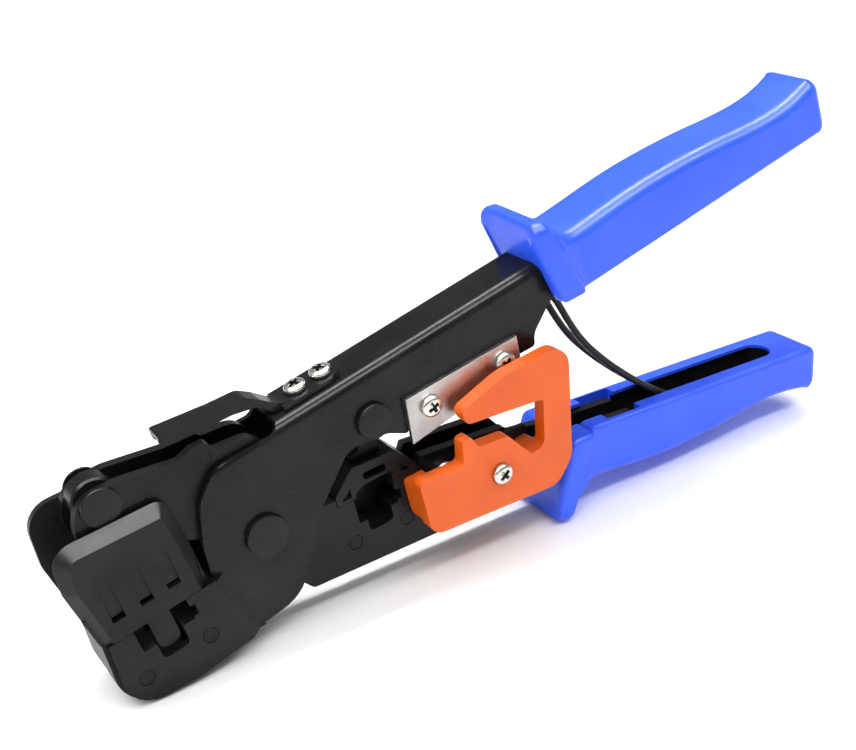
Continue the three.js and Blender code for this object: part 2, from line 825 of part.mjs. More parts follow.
// ---------------------------------------------------------------- nose pin, roller and bushes
const noseSeat = leverOuter + fitGap;
add("nose_pin", rivet(nosePin, noseRadius, noseHead, noseSeat, noseHeadHeight), blackSteel());
const ring = (place, outer, inner, half) =>
  cut(rod(place, outer, -half, half), [rod(place, inner, -half - 1, half + 1)]);
add("nose_roller", ring(nosePin, rollerRadius, noseRadius + fitGap, leverInner - runGap), brightSteel());
add("pivot_spacer", ring([0, 0], 6.4, pivotRadius + fitGap, leverInner - fitGap), darkDie());

// ---------------------------------------------------------------- rear die, head and punch
const rearBlock = outline([
  [17, rearParting - fitGap],
  [17, -17.6],
  [37.4, -19.6],
  [37.4, rearParting - fitGap],
]);
add(
  "rear_die_block",
  cut(centred(rearBlock, leverInner - fitGap), [
    centred(rearCavity, flangeHalf),
    ...rearDiePins.map((place) => drill(place, smallPinRadius + fitGap, 16)),
  ]),
  darkDie(),
);
rearDiePins.forEach((place, i) => {
  const pin = rod(place, smallPinRadius, -leverOuter, leverOuter, 16);
  add("rear_die_pin_" + (i ? "rear" : "front"), pin, darkDie());
});

const rearPunchLeft = 24.3;
const rearPunchRight = 31.3;
const rearHeadOutline = outline([
  [17.5, rearParting, 0],
  [17.5, -1.4, 0.4],
  [22.8, 3.6, 0.5],
  [33.6, 2.9, 0.5],
  [37.9, -2.7, 0.4],
  [37.9, rearParting, 0],
]);
const rearChannelHalf = leverInner - fitGap;
const rearHeadCuts = [
  centred(outline([[22.2, -6], [22.2, -3], [24, -1.6], [31.6, -1.6], [31.6, -6]]), flangeHalf),
  slab(outline([[25, -0.6, 0.8], [25, 1.3, 0.8], [30.7, 1, 0.8], [30.7, -0.9, 0.8]]), -flangeHalf, 0),
  ...pair(outline([[18.6, -3.1, 0.2], [21.3, -0.9, 0.2], [21.2, -3.1, 0.2]]), leverOuter - 1, flangeHalf),
  ...pair(outline([[34, -1, 0.2], [36.2, -3.1, 0.2], [34, -3.1, 0.2]]), leverOuter - 1, flangeHalf),
  block(
    [rearPunchLeft - runGap, -rearChannelHalf, -8],
    [rearPunchRight + runGap, rearChannelHalf, 8],
  ),
];
add("rear_head", cut(centred(rearHeadOutline, leverOuter), rearHeadCuts), blackSteel());

const rearCombHeight = 1;
const rearPunchFoot = -1.4;
const rearPunchHalf = rearChannelHalf - runGap;
const rearPunchTop = drivePin[1] - driveRadius - runGap;
const rearPunch = outline([
  [rearPunchLeft, rearPunchFoot],
  [rearPunchLeft, 4.6, 0.5],
  [drivePin[0] - 3, 5.4, 0.5],
  [drivePin[0] - 3, rearPunchTop, 0.6],
  [rearPunchRight, rearPunchTop, 0.6],
  [rearPunchRight, rearPunchFoot],
]);
add("rear_punch", centred(rearPunch, rearPunchHalf), darkDie());
const combPlace = turnedFrame([(rearPunchLeft + rearPunchRight) / 2, rearPunchFoot - fitGap], 0);
add("rear_contact_comb", contactComb(combPlace, 6, -rearCombHeight, 0, rearPunchHalf), brightSteel());

// ---------------------------------------------------------------- counter blade and guard
const anvilOutline = outline([
  [39.2, -3.5, 0],
  [66, -6.4, 0],
  [66, -8.4, 0],
  [48.4, -8.4, 1],
  [46.4, -10.3, 1],
  [39.2, -10.3, 0],
]);
add(
  "counter_blade",
  cut(slab(anvilOutline, -anvilOuter, -anvilInner), [
    rod(anvilScrew, screwShank + fitGap, -anvilOuter - 1, 0, 16),
  ]),
  brushedBlade(),
);
const anvilSeat = -anvilOuter - fitGap;
const anvilPlace = [anvilScrew[0], anvilSeat, anvilScrew[1]];
const anvilGrip = anvilOuter + fitGap - leverInner;
add("counter_blade_screw", panScrew(anvilGrip), brightSteel(), anvilPlace, faceFront);

const guardOutline = outline([
  [33.6, -2.2, 2],
  [33.8, -16.4, 3.5],
  [67.6, -20.6, 4.5],
  [72.6, -15.2, 5],
  [76.9, 12.9, 4.6],
  [59, 12.6, 12],
  [47.2, 9.2, 1.6],
  [48, 5.6, 1.6],
  [67.9, 2.4, 0.8],
  [65.9, -9, 2],
  [62.2, -9.4, 1],
  [57.2, -2, 1.2],
  [49.6, -1, 1],
  [48.2, 2.2, 0.9],
  [46, 2.2, 0.9],
  [45, -3.4, 1.2],
  [37.4, -2.9, 1],
]);
const bossOutline = outline([
  [33.8, -5, 1],
  [38.9, -5, 0.3],
  [38.9, -10.7, 0.3],
  [46.8, -10.7, 0.3],
  [48.8, -8.8, 0.3],
  [62, -9.4, 0.3],
  [66, -9.4, 0.3],
  [71, -14.6, 3],
  [67.4, -20.2, 4],
  [34, -16, 3.5],
]);

function guard() {
  const wall = slab(guardOutline, -guardOuter, -guardInner);
  const boss = slab(bossOutline, -guardInner - 1, -anvilInner);
  return cut(wall.add(boss), [rod(guardScrew, screwShank + fitGap, -guardOuter - 1, 0, 16)]);
}

add("blade_guard", guard(), orangePlastic());
const guardSeat = -guardOuter - fitGap;
const guardPlace = [guardScrew[0], guardSeat, guardScrew[1]];
const guardGrip = guardOuter + fitGap - leverInner;
add("guard_screw", panScrew(guardGrip), brightSteel(), guardPlace, faceFront);

// ---------------------------------------------------------------- lower grip
const lowerPocket = centred(
  outline([
    lowerPlace(-30, -1),
    lowerPlace(-2, 1.1),
    lowerPlace(14.8, 1.3),
    lowerPlace(16.2, 7.3),
    [lowerTangEnd[0] + 0.2, lowerTangEnd[1] + fitGap],
    [lowerWebEnd[0] + 0.2, lowerWebEnd[1] - fitGap],
    [lowerWebMiddle[0], lowerWebMiddle[1] - 0.4],
    [75, -26.8],
    [50, -26.8],
  ]),
  leverOuter + fitGap,
);
const notchLow = lowerPlace(5.5, -2);
const notchHigh = lowerPlace(15.5, 5);
const notch = slab(
  outline([
    [notchLow[0], notchHigh[1]],
    [notchLow[0], notchLow[1]],
    [notchHigh[0], notchLow[1]],
    [notchHigh[0], notchHigh[1]],
  ]),
  -gripHalf + gripWall,
  gripHalf - gripWall,
);
add("lower_grip", gripSolid(lowerPlace, lowerGripLength, 10.9, 12, 12.4, lowerPocket, [notch]), bluePlastic());

// ---------------------------------------------------------------- return spring
// One wire bent double: both ends hook over the pin in the upper handle, and the closed end lies in the
// lower handle. The route is the middle line of one leg in the side plane.
function returnSpring() {
  const hook = springPinRadius + wireRadius + runGap;
  const [px, pz] = springPin;
  const leg = [
    [px - hook, pz - 0.6],
    [px - hook * 0.72, pz + hook * 0.72],
    [px, pz + hook],
    [px + hook * 0.75, pz + hook * 0.7],
    [px + hook + 0.5, pz - 1],
    [81.2, 20.4],
    [82.9, 16],
    [84.9, 10.4],
    [87.7, 4.2],
    [91.7, -2],
    [96.2, -7.8],
    [101.3, -13.6],
    [107, -19.4],
    [111.6, -23.6],
  ];
  const points = [
    ...leg.map(([x, z]) => new THREE.Vector3(x, -legOffset, z)),
    new THREE.Vector3(113, -legOffset * 0.45, -24.7),
    new THREE.Vector3(113, legOffset * 0.45, -24.7),
    ...leg.toReversed().map(([x, z]) => new THREE.Vector3(x, legOffset, z)),
  ];
  const path = new THREE.CatmullRomCurve3(points);
  const section = new THREE.Shape();
  section.absarc(0, 0, wireRadius, 0, 2 * Math.PI, false);
  const options = { steps: 84, bevelEnabled: false, extrudePath: path, curveSegments: 4 };
  return solid(new THREE.ExtrudeGeometry(section, options));
}

add("return_spring", returnSpring(), springSteel());

// ---------------------------------------------------------------- standing pose
// The tool stands on the round underside of its jaw and on the tip of the lower flange. The lean that
// puts both on one level follows from the two round corners.
const jawRound = [blockLeft + jawCornerRadius, jawBottom + jawCornerRadius];
const tipRound = lowerPlace(...flangeTip);
const across = [tipRound[0] - jawRound[0], tipRound[1] - jawRound[1]];
const rise = Math.asin((flangeTipRadius - jawCornerRadius) / Math.hypot(...across));
const lean = rise - Math.atan2(across[1], across[0]);
tool.rotation.y = -lean;

const part = new THREE.Group();
part.add(tool);
part.updateMatrixWorld(true);
const bounds = new THREE.Box3().setFromObject(part, true);
const middle = bounds.getCenter(new THREE.Vector3());
tool.position.set(-middle.x, -middle.y, -bounds.min.z);

export default part;
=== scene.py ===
# %% [markdown]
# Modular plug crimping tool.
# The CAD model already holds every part in its place, in metres. This lesson dresses it: rounded
# edges on the steel, moulded grips, real screw heads, and a procedural finish on every surface.

import math

import bmesh
import bpy
from mathutils import Matrix, Vector


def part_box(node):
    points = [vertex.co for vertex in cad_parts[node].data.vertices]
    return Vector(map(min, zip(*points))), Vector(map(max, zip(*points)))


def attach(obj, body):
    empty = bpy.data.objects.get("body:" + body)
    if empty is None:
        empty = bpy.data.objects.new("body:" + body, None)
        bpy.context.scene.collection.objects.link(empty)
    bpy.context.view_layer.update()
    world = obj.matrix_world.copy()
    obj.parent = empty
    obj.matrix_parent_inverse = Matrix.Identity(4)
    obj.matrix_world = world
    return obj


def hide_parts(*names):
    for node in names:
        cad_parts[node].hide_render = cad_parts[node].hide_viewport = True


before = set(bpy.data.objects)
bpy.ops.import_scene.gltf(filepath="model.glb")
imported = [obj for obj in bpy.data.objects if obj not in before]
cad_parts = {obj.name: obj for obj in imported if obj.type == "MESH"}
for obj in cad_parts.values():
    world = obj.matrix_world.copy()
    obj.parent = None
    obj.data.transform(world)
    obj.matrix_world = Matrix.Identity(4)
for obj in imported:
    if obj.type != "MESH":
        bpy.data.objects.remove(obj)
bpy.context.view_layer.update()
MM = 0.001  # metres
JOIN = 2e-6  # metres: corners closer than this are one corner

# %% [markdown]
# The tool leans on its jaw and lower flange, so its own axes are turned a little from the room's.
# Two rivets give that frame: the main rivet is its origin, and the line to the drive rivet gives the
# lean. In it, X runs to the handles, Y across the tool, Z up, and lengths are in millimetres.

# %% The tool's own frame
def middle(node):
    low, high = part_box(node)
    return (low + high) / 2


pivot = middle("main_rivet")
drive = middle("drive_rivet")
drive_place = (29.8, 13.3)
seen_angle = math.atan2(drive.z - pivot.z, drive.x - pivot.x)
lean = seen_angle - math.atan2(drive_place[1], drive_place[0])
TOOL = Matrix.Translation(pivot) @ Matrix.Rotation(-lean, 4, "Y") @ Matrix.Scale(MM, 4)
print("lean in degrees", round(math.degrees(lean), 2))

# %% [markdown]
# Every piece is finished in the same way: faces turned outwards, smooth shading with sharp edges
# kept, then a narrow bevel so that each edge catches a line of light, as a tumbled edge does.

# %% Helper: finish a mesh as a piece
def piece(name, bm, body, material, replaces=(), edge=0.25, angle=32, steps=3, in_tool=True):
    """A finished object. Edge is the bevel in mm; a list of materials goes by face index."""
    if in_tool:
        bm.transform(TOOL)
    bmesh.ops.remove_doubles(bm, verts=bm.verts, dist=JOIN)
    if in_tool:
        bmesh.ops.recalc_face_normals(bm, faces=bm.faces)
    mesh = bpy.data.meshes.new(name)
    bm.to_mesh(mesh)
    bm.free()
    for face in mesh.polygons:
        face.use_smooth = True
    mesh.set_sharp_from_angle(angle=math.radians(angle))
    for finish in material if isinstance(material, list) else [material]:
        mesh.materials.append(finish)
    made = bpy.data.objects.new(name, mesh)
    bpy.context.scene.collection.objects.link(made)
    if edge:
        bevel = made.modifiers.new("edges", "BEVEL")
        bevel.width = edge * MM
        bevel.segments = steps
        bevel.limit_method = "ANGLE"
        bevel.angle_limit = math.radians(angle)
        bevel.harden_normals = False
        weighted = made.modifiers.new("shading", "WEIGHTED_NORMAL")
        weighted.keep_sharp = False
    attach(made, body)
    if replaces:
        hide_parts(*replaces)
    return made


# %% Helper: a plate drawn in the side plane
def plate(corners, low, high, steps=7):
    """Corners are [x, z] or [x, z, radius]; the plate runs across the tool from low to high."""
    bm = bmesh.new()
    rim = [bm.verts.new((corner[0], low, corner[1])) for corner in corners]
    face = bm.faces.new(rim)
    grown = bmesh.ops.extrude_face_region(bm, geom=[face])
    moved = [item for item in grown["geom"] if isinstance(item, bmesh.types.BMVert)]
    bmesh.ops.translate(bm, verts=moved, vec=(0, high - low, 0))
    bmesh.ops.recalc_face_normals(bm, faces=bm.faces)
    count = len(corners)
    for i, corner in enumerate(corners):
        if len(corner) < 3 or not corner[2]:
            continue
        here = Vector(corner[:2])
        before = Vector(corners[i - 1][:2]) - here
        after = Vector(corners[(i + 1) % count][:2]) - here
        half = before.angle(after) / 2
        room = 0.47 * min(before.length, after.length)  # two corners share a side
        reach = min(corner[2] / math.tan(half), room)
        edges = [
            edge
            for edge in bm.edges
            if all((Vector((v.co.x, v.co.z)) - here).length < 1e-4 for v in edge.verts)
        ]
        bmesh.ops.bevel(
            bm, geom=edges, offset=reach, offset_type="OFFSET", affect="EDGES",
            segments=steps, profile=0.5, material=-1, clamp_overlap=True,
        )
    return bm


# %% Helper: a solid turned about an axis across the tool
def turned(profile, centre=(0, 0, 0), turns=48, turn=None):
    """Profile is [radius, height] pairs that start and end on the axis; height runs along +Y."""
    bm = bmesh.new()
    points = [bm.verts.new((radius, height, 0)) for radius, height in profile]
    line = [bm.edges.new(pair) for pair in zip(points, points[1:])]
    bmesh.ops.spin(
        bm, geom=points + line, cent=(0, 0, 0), axis=(0, 1, 0), angle=math.tau, steps=turns,
        use_merge=True,
    )
    bmesh.ops.remove_doubles(bm, verts=bm.verts, dist=1e-4)
    bmesh.ops.recalc_face_normals(bm, faces=bm.faces)
    if turn:
        bm.transform(turn)
    bm.transform(Matrix.Translation(centre))
    return bm


# %% Helper: cutting one mesh with others, or adding them
def box(low, high):
    bm = bmesh.new()
    bmesh.ops.create_cube(bm, size=1)
    low, high = Vector(low), Vector(high)
    bmesh.ops.scale(bm, vec=high - low, verts=bm.verts)
    bmesh.ops.translate(bm, vec=(low + high) / 2, verts=bm.verts)
    return bm


def boolean(whole, cutters, how="DIFFERENCE"):
    """The mesh left when each cutter has been taken from (or added to) the whole."""
    mesh = bpy.data.meshes.new("whole")
    whole.to_mesh(mesh)
    whole.free()
    holder = bpy.data.objects.new("whole", mesh)
    bpy.context.scene.collection.objects.link(holder)
    spares = []
    for cutter in cutters:
        tool_mesh = bpy.data.meshes.new("cutter")
        cutter.to_mesh(tool_mesh)
        cutter.free()
        tool = bpy.data.objects.new("cutter", tool_mesh)
        bpy.context.scene.collection.objects.link(tool)
        change = holder.modifiers.new("cut", "BOOLEAN")
        change.operation = how
        change.solver = "EXACT"
        change.object = tool
        spares.append(tool)
    ready = holder.evaluated_get(bpy.context.evaluated_depsgraph_get())
    bm = bmesh.new()
    bm.from_mesh(ready.to_mesh())
    ready.to_mesh_clear()
    for spare in [holder, *spares]:
        bpy.data.objects.remove(spare)
    return bm


print("helpers ready: piece, plate, turned, boolean")

# %% [markdown]
# Materials. Blackened steel is nearly black but never flat: the oxide is slightly mottled, fine
# grinding marks run along it, and light glances off in broad soft streaks. One recipe with a few
# settings gives all the dark steels; the numbers that differ are set where each finish is made.

# %% Helper: material with its own node tree
def new_material(name, **constants):
    material = bpy.data.materials.new(name)
    material.use_nodes = True
    nodes = material.node_tree.nodes
    links = material.node_tree.links
    shader = nodes["Principled BSDF"]
    for socket, value in constants.items():
        shader.inputs[socket.replace("_", " ")].default_value = value
    coordinates = nodes.new("ShaderNodeTexCoord")
    return material, nodes, links, shader, coordinates


def noise(nodes, links, coordinates, scale, detail=4, stretch=(1, 1, 1)):
    mapping = nodes.new("ShaderNodeMapping")
    mapping.inputs["Scale"].default_value = stretch
    links.new(coordinates.outputs["Object"], mapping.inputs["Vector"])
    texture = nodes.new("ShaderNodeTexNoise")
    texture.inputs["Scale"].default_value = scale
    texture.inputs["Detail"].default_value = detail
    links.new(mapping.outputs["Vector"], texture.inputs["Vector"])
    return texture.outputs["Fac"]


def ramp(nodes, links, source, low, high, dark, light):
    blend = nodes.new("ShaderNodeValToRGB")
    blend.color_ramp.elements[0].position = low
    blend.color_ramp.elements[1].position = high
    blend.color_ramp.elements[0].color = (*dark, 1)
    blend.color_ramp.elements[1].color = (*light, 1)
    links.new(source, blend.inputs["Fac"])
    return blend.outputs["Color"]


def spread(nodes, links, source, low, high):
    change = nodes.new("ShaderNodeMapRange")
    change.inputs["From Min"].default_value = 0.3
    change.inputs["From Max"].default_value = 0.7
    change.inputs["To Min"].default_value = low
    change.inputs["To Max"].default_value = high
    links.new(source, change.inputs["Value"])
    return change.outputs["Result"]


def bump(nodes, links, shader, heights):
    """Stacks bumps: heights is a list of (source, distance in metres)."""
    previous = None
    for source, distance in heights:
        node = nodes.new("ShaderNodeBump")
        node.inputs["Strength"].default_value = 0.6
        node.inputs["Distance"].default_value = distance
        links.new(source, node.inputs["Height"])
        if previous:
            links.new(previous, node.inputs["Normal"])
        previous = node.outputs["Normal"]
    links.new(previous, shader.inputs["Normal"])


# %% Dark steels
def dark_steel(name, dark, light, rough, grain=(1, 1, 1), metal=0.1, shine=0.18):
    material, nodes, links, shader, place = new_material(
        name, Metallic=metal, Specular_IOR_Level=shine
    )
    mottle = noise(nodes, links, place, 90, 6)
    fine = noise(nodes, links, place, 2600, 2)
    drawn = noise(nodes, links, place, 800, 3, grain)
    colour = ramp(nodes, links, mottle, 0.36, 0.66, dark, light)
    links.new(colour, shader.inputs["Base Color"])
    links.new(spread(nodes, links, drawn, rough - 0.03, rough + 0.04), shader.inputs["Roughness"])
    bump(nodes, links, shader, [(fine, 1.6e-5), (drawn, 0.3e-5)])
    return material


black_steel = dark_steel(
    "black oxide", (0.005, 0.005, 0.0055), (0.010, 0.010, 0.0105), 0.25, (0.15, 1, 1)
)
lever_steel = dark_steel(
    "black lever", (0.004, 0.004, 0.0045), (0.008, 0.008, 0.0085), 0.36, (0.2, 1, 1)
)
die_steel = dark_steel("dull oxide", (0.003, 0.003, 0.003), (0.006, 0.006, 0.006), 0.42)
head_steel = dark_steel(
    "head oxide", (0.009, 0.009, 0.0095), (0.016, 0.016, 0.0165), 0.34, (1, 1, 0.2),
    metal=0.05, shine=0.14,
)
rivet_steel = dark_steel("rivet oxide", (0.007, 0.007, 0.0075), (0.012, 0.012, 0.0125), 0.26)
# a lighter, shinier steel for the chamfer faces that face the light: a painted highlight
painted_highlight_steel = dark_steel(
    "chamfer painted highlight", (0.016, 0.016, 0.016), (0.028, 0.028, 0.028), 0.34, (0.2, 1, 1),
    metal=0.3, shine=0.2,
)
wire_steel = dark_steel("spring wire", (0.004, 0.004, 0.0045), (0.009, 0.009, 0.0095), 0.28)
print("dark steels mixed")


# %% Bright metals
def bright_metal(name, dark, light, rough, grain=(1, 1, 1), scale=500, depth=6e-6):
    material, nodes, links, shader, place = new_material(name, Metallic=1.0)
    streak = noise(nodes, links, place, scale, 5, grain)
    cloud = noise(nodes, links, place, 120, 3)
    links.new(ramp(nodes, links, cloud, 0.3, 0.7, dark, light), shader.inputs["Base Color"])
    links.new(spread(nodes, links, streak, rough - 0.07, rough + 0.1), shader.inputs["Roughness"])
    bump(nodes, links, shader, [(streak, depth)])
    return material


nickel = bright_metal("nickel plate", (0.50, 0.48, 0.44), (0.68, 0.66, 0.61), 0.22)
ground_steel = bright_metal(
    "ground steel", (0.30, 0.285, 0.275), (0.42, 0.405, 0.39), 0.34, (1, 1, 0.05), 900, 9e-6
)


print("bright metals mixed")


# %% Plastics
def plastic(name, dark, light, rough, depth):
    material, nodes, links, shader, place = new_material(name, Specular_IOR_Level=0.38)
    shader.inputs["Subsurface Weight"].default_value = 0.06
    shader.inputs["Subsurface Radius"].default_value = (0.002, 0.002, 0.003)
    shader.inputs["Subsurface Scale"].default_value = 0.5
    cloud = noise(nodes, links, place, 60, 3)
    grain = noise(nodes, links, place, 2200, 2)
    flow = noise(nodes, links, place, 170, 2)
    links.new(ramp(nodes, links, cloud, 0.35, 0.65, dark, light), shader.inputs["Base Color"])
    links.new(spread(nodes, links, flow, rough - 0.04, rough + 0.05), shader.inputs["Roughness"])
    bump(nodes, links, shader, [(grain, depth), (flow, 1.5e-5)])
    return material


blue_plastic = plastic("blue grip", (0.020, 0.088, 0.82), (0.026, 0.104, 0.88), 0.36, 1.6e-5)
orange_plastic = plastic("orange guard", (0.62, 0.086, 0.001), (0.68, 0.100, 0.002), 0.42, 1.6e-5)
print("finishes", sorted(m.name for m in bpy.data.materials if m.use_nodes))

# %% [markdown]
# Flat steel parts keep their CAD outline. The CAD mesh is loose triangles, so a copy is merged and
# its flat faces dissolved into whole polygons; only then can a bevel run cleanly round every edge.

# %% Helper: a CAD node with softened edges
def crisp(node, body, material, edge):
    bm = bmesh.new()
    bm.from_mesh(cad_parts[node].data)
    bmesh.ops.remove_doubles(bm, verts=bm.verts, dist=JOIN)
    bmesh.ops.dissolve_limit(
        bm, angle_limit=math.radians(1), verts=bm.verts, edges=bm.edges,
        use_dissolve_boundaries=False,
    )
    return piece(node + "_finished", bm, body, material, [node], edge, in_tool=False)


# %% Steel parts of both frames
steel_parts = [
    ("upper_frame", "upper_handle", "black_steel", black_steel, 0.3),
    ("lower_frame", "lower_handle", "black_steel", lever_steel, 0.22),
    ("front_die_block", "upper_handle", "dark_die", die_steel, 0.25),
    ("front_punch", "front_ram", "dark_die", head_steel, 0.2),
    ("rear_die_block", "lower_handle", "dark_die", die_steel, 0.2),
    ("rear_head", "lower_handle", "black_steel", lever_steel, 0.25),
    ("rear_punch", "rear_ram", "dark_die", die_steel, 0.2),
    ("die_pin_nose", "upper_handle", "dark_die", die_steel, 0.15),
    ("die_pin_rear", "upper_handle", "dark_die", die_steel, 0.15),
    ("rear_die_pin_front", "lower_handle", "dark_die", die_steel, 0.15),
    ("rear_die_pin_rear", "lower_handle", "dark_die", die_steel, 0.15),
    ("spring_pin", "upper_handle", "dark_die", die_steel, 0.15),
    ("pivot_spacer", "lower_handle", "dark_die", die_steel, 0.2),
    ("cutting_blade", "upper_handle", "blade_steel", ground_steel, 0.12),
    ("counter_blade", "lower_handle", "dark_die", lever_steel, 0.12),
    ("front_contact_comb", "front_ram", "bright_steel", nickel, 0.05),
    ("rear_contact_comb", "rear_ram", "bright_steel", nickel, 0.05),
    ("stop_strap", "upper_handle", "black_steel", black_steel, 0.5),
]
for node, body, slot, material, edge in steel_parts:
    made = crisp(node, body, material, edge)
    print(made.name, len(made.data.polygons), "faces")

# %% [markdown]
# The crimping head is a machined block: two walls on a solid foot, with a channel for the punch.
# Both walls' rims are chamfered, and three slots sink into each wall and end in a small pocket.
# The foot is drawn in the die's axes: U along the parting line, V up along the punch's travel.

# %% Helper: shapes of the crimping head
die_middle = (-26.8, -4.2)
head_turn = math.radians(5.5)
head_half = 8.8
head_inner = 6.15


def at_die(u, v):
    return (
        die_middle[0] + u * math.cos(head_turn) - v * math.sin(head_turn),
        die_middle[1] + u * math.sin(head_turn) + v * math.cos(head_turn),
    )


def die_corners(rows):
    return [(*at_die(u, v), *rest) for u, v, *rest in rows]


def head_wall(top, round_left, low, high):
    left, right = at_die(-12.8, 0.1), at_die(12.2, 0.1)
    return plate([left, (-42.5, 9, 3), (-42.2, top, round_left), (right[0] - 3, top, 3),
                  (right[0] - 1.4, 10, 5), right], low, high)


def chamfer_rim(bm, y, width):
    foot = {round(z, 3) for _, z in (at_die(-12.8, 0.1), at_die(12.2, 0.1))}
    rim = [
        e for e in bm.edges
        if all(abs(v.co.y - y) < 1e-4 for v in e.verts)
        and not all(round(v.co.z, 3) in foot for v in e.verts)
    ]
    bmesh.ops.bevel(bm, geom=rim, offset=width, offset_type="OFFSET", affect="EDGES", segments=1,
                    profile=0.5, material=-1, clamp_overlap=True)
    return bm


def slot_and_pocket(u, side, low=4.3, high=14.6, half=1.45, shallow=0.32, deep=0.75):
    """A round-topped slot that sinks towards the foot, and the deeper pocket at its foot."""
    outline = [(u - half, low), (u + half, low), (u + half, high, 1.2), (u - half, high, 1.2)]
    slot = plate(outline, -1, shallow)
    for v in slot.verts:
        if v.co.y > 0:
            v.co.y += (deep - shallow) * (high - v.co.z) / (high - low)
    pocket = box((u - half, -1, low), (u + half, 1.9, low + 0.9))
    at_middle = Matrix.Translation((die_middle[0], 0, die_middle[1]))
    place = at_middle @ Matrix.Rotation(-head_turn, 4, "Y")
    for cutter in (slot, pocket):
        cutter.transform(Matrix.Translation((0, -head_half, 0)))
        if side > 0:
            cutter.transform(Matrix.Scale(-1, 4, (0, 1, 0)))
            bmesh.ops.reverse_faces(cutter, faces=cutter.faces)
        cutter.transform(place)
    return [slot, pocket]


print("helpers ready: head_wall, chamfer_rim, slot_and_pocket")

# %% Crimping head
front_wall = chamfer_rim(head_wall(18.9, 5, -head_half, -head_inner), -head_half, 2.5)
back_wall = chamfer_rim(head_wall(22.3, 6, head_inner, head_half), head_half, 1.0)
foot_outline = [(-12.8, 0.1), (-13.6, 7.2), (6.3, 7.2), (11.6, 5.4), (12.2, 0.1)]
foot = plate(die_corners(foot_outline), -7.1, 7.1)
channel = plate(die_corners([(-6.3, -1), (-6.3, 8.2), (6.3, 8.2), (6.3, -1)]), -5.25, 5.25)
tongue = plate(die_corners([(-2.6, 1), (-2.6, -9, 2), (2.4, -9, 2), (2.4, 1)]), -7.0, -5.7)
head = boolean(foot, [front_wall, back_wall], "UNION")
slots = [
    cutter
    for u in (-7.15, -0.75, 5.45)
    for side in (-1, 1)
    for cutter in slot_and_pocket(u, side)
]
head = boolean(head, [channel, *slots])
head = boolean(head, [tongue], "UNION")
bmesh.ops.remove_doubles(head, verts=head.verts, dist=1e-3)
for face in head.faces:  # faces of the front wall's chamfer that face up and forward take a lighter, shinier steel: a painted highlight
    normal = face.normal
    face.material_index = int(-0.9 < normal.y < -0.4 and normal.z > 0.55)
piece("crimping_head_machined", head, "upper_handle", [head_steel, painted_highlight_steel],
      ["crimping_head"], edge=0.12, angle=25)
print("crimping head machined")

# %% Pin end in the front lever plate
pin_profile = [(0, -0.3), (1.3, -0.3), (1.3, 0.02), (1.1, 0.14), (0.8, 0.05), (0, 0.05)]
pin_end = turned(
    pin_profile, turns=32, turn=Matrix.Rotation(math.pi, 4, "X"), centre=(-6.56, -4.95, 21.5)
)
piece("lever_pin_end", pin_end, "lower_handle", lever_steel, edge=0, angle=60)
print("pin end drawn")

# %% [markdown]
# Rivets and the nose pin are turned parts. Their heads are lightly crowned with a soft shoulder, so
# the profile is drawn once as radius and height and spun round the axis.

# %% Rivets, nose pin and roller
def rivet_profile(shank, head, seat, height, crown=0.12):
    side = [
        (shank, seat),
        (head - 0.05, seat),
        (head, seat + 0.1),
        (head, seat + height - 0.45),
        (head - 0.13, seat + height - 0.16),
        (head - 0.42, seat + height - crown),
        (head * 0.55, seat + height - 0.02),
        (0, seat + height),
    ]
    other = [(radius, -height_here) for radius, height_here in reversed(side)]
    return other + side


cheek_face = 6.85
lever_face = 5.05
nose_place = (-29.3, 0, 22.5)
rivets = [
    ("main_rivet", (0, 0, 0), 3.0, 4.8, cheek_face, 1.3, "upper_handle"),
    ("drive_rivet", (29.8, 0, 13.3), 3.0, 4.1, cheek_face, 1.3, "upper_handle"),
    ("nose_pin", nose_place, 3.0, 4.2, lever_face, 0.8, "lower_handle"),
]
for name, place, shank, head, seat, height, body in rivets:
    bm = turned(rivet_profile(shank, head, seat, height), place, 64)
    piece(name + "_turned", bm, body, rivet_steel, [name], edge=0, angle=50)
roller_half = 2.35
roller_rim = [
    (3.1, -roller_half),
    (4.6, -roller_half),
    (5.0, -roller_half + 0.4),
    (5.0, roller_half - 0.4),
    (4.6, roller_half),
    (3.1, roller_half),
    (3.1, -roller_half),
]
roller = turned(roller_rim, nose_place, 64)
piece("nose_roller_turned", roller, "lower_handle", rivet_steel, ["nose_roller"],
      edge=0, angle=40)
print("rivets turned", [row[0] for row in rivets])

# %% [markdown]
# The screws are small nickel-plated pan heads. What makes one read as real is the cross recess:
# tapering wings cut into a dome, their inside faces given near-black steel as painted shade. The
# dome is spun, and the wings are two blocks narrowed at the foot.

# %% Screws with cross recess
def wing(length, width, depth, top):
    bm = bmesh.new()
    bmesh.ops.create_cube(bm, size=1)
    bmesh.ops.scale(bm, vec=(length, depth + 1, width), verts=bm.verts)
    low = [v for v in bm.verts if v.co.y < 0]
    bmesh.ops.scale(bm, vec=(0.5, 1, 0.6), verts=low)
    bmesh.ops.translate(bm, vec=(0, top - depth + (depth + 1) / 2, 0), verts=bm.verts)
    return bm


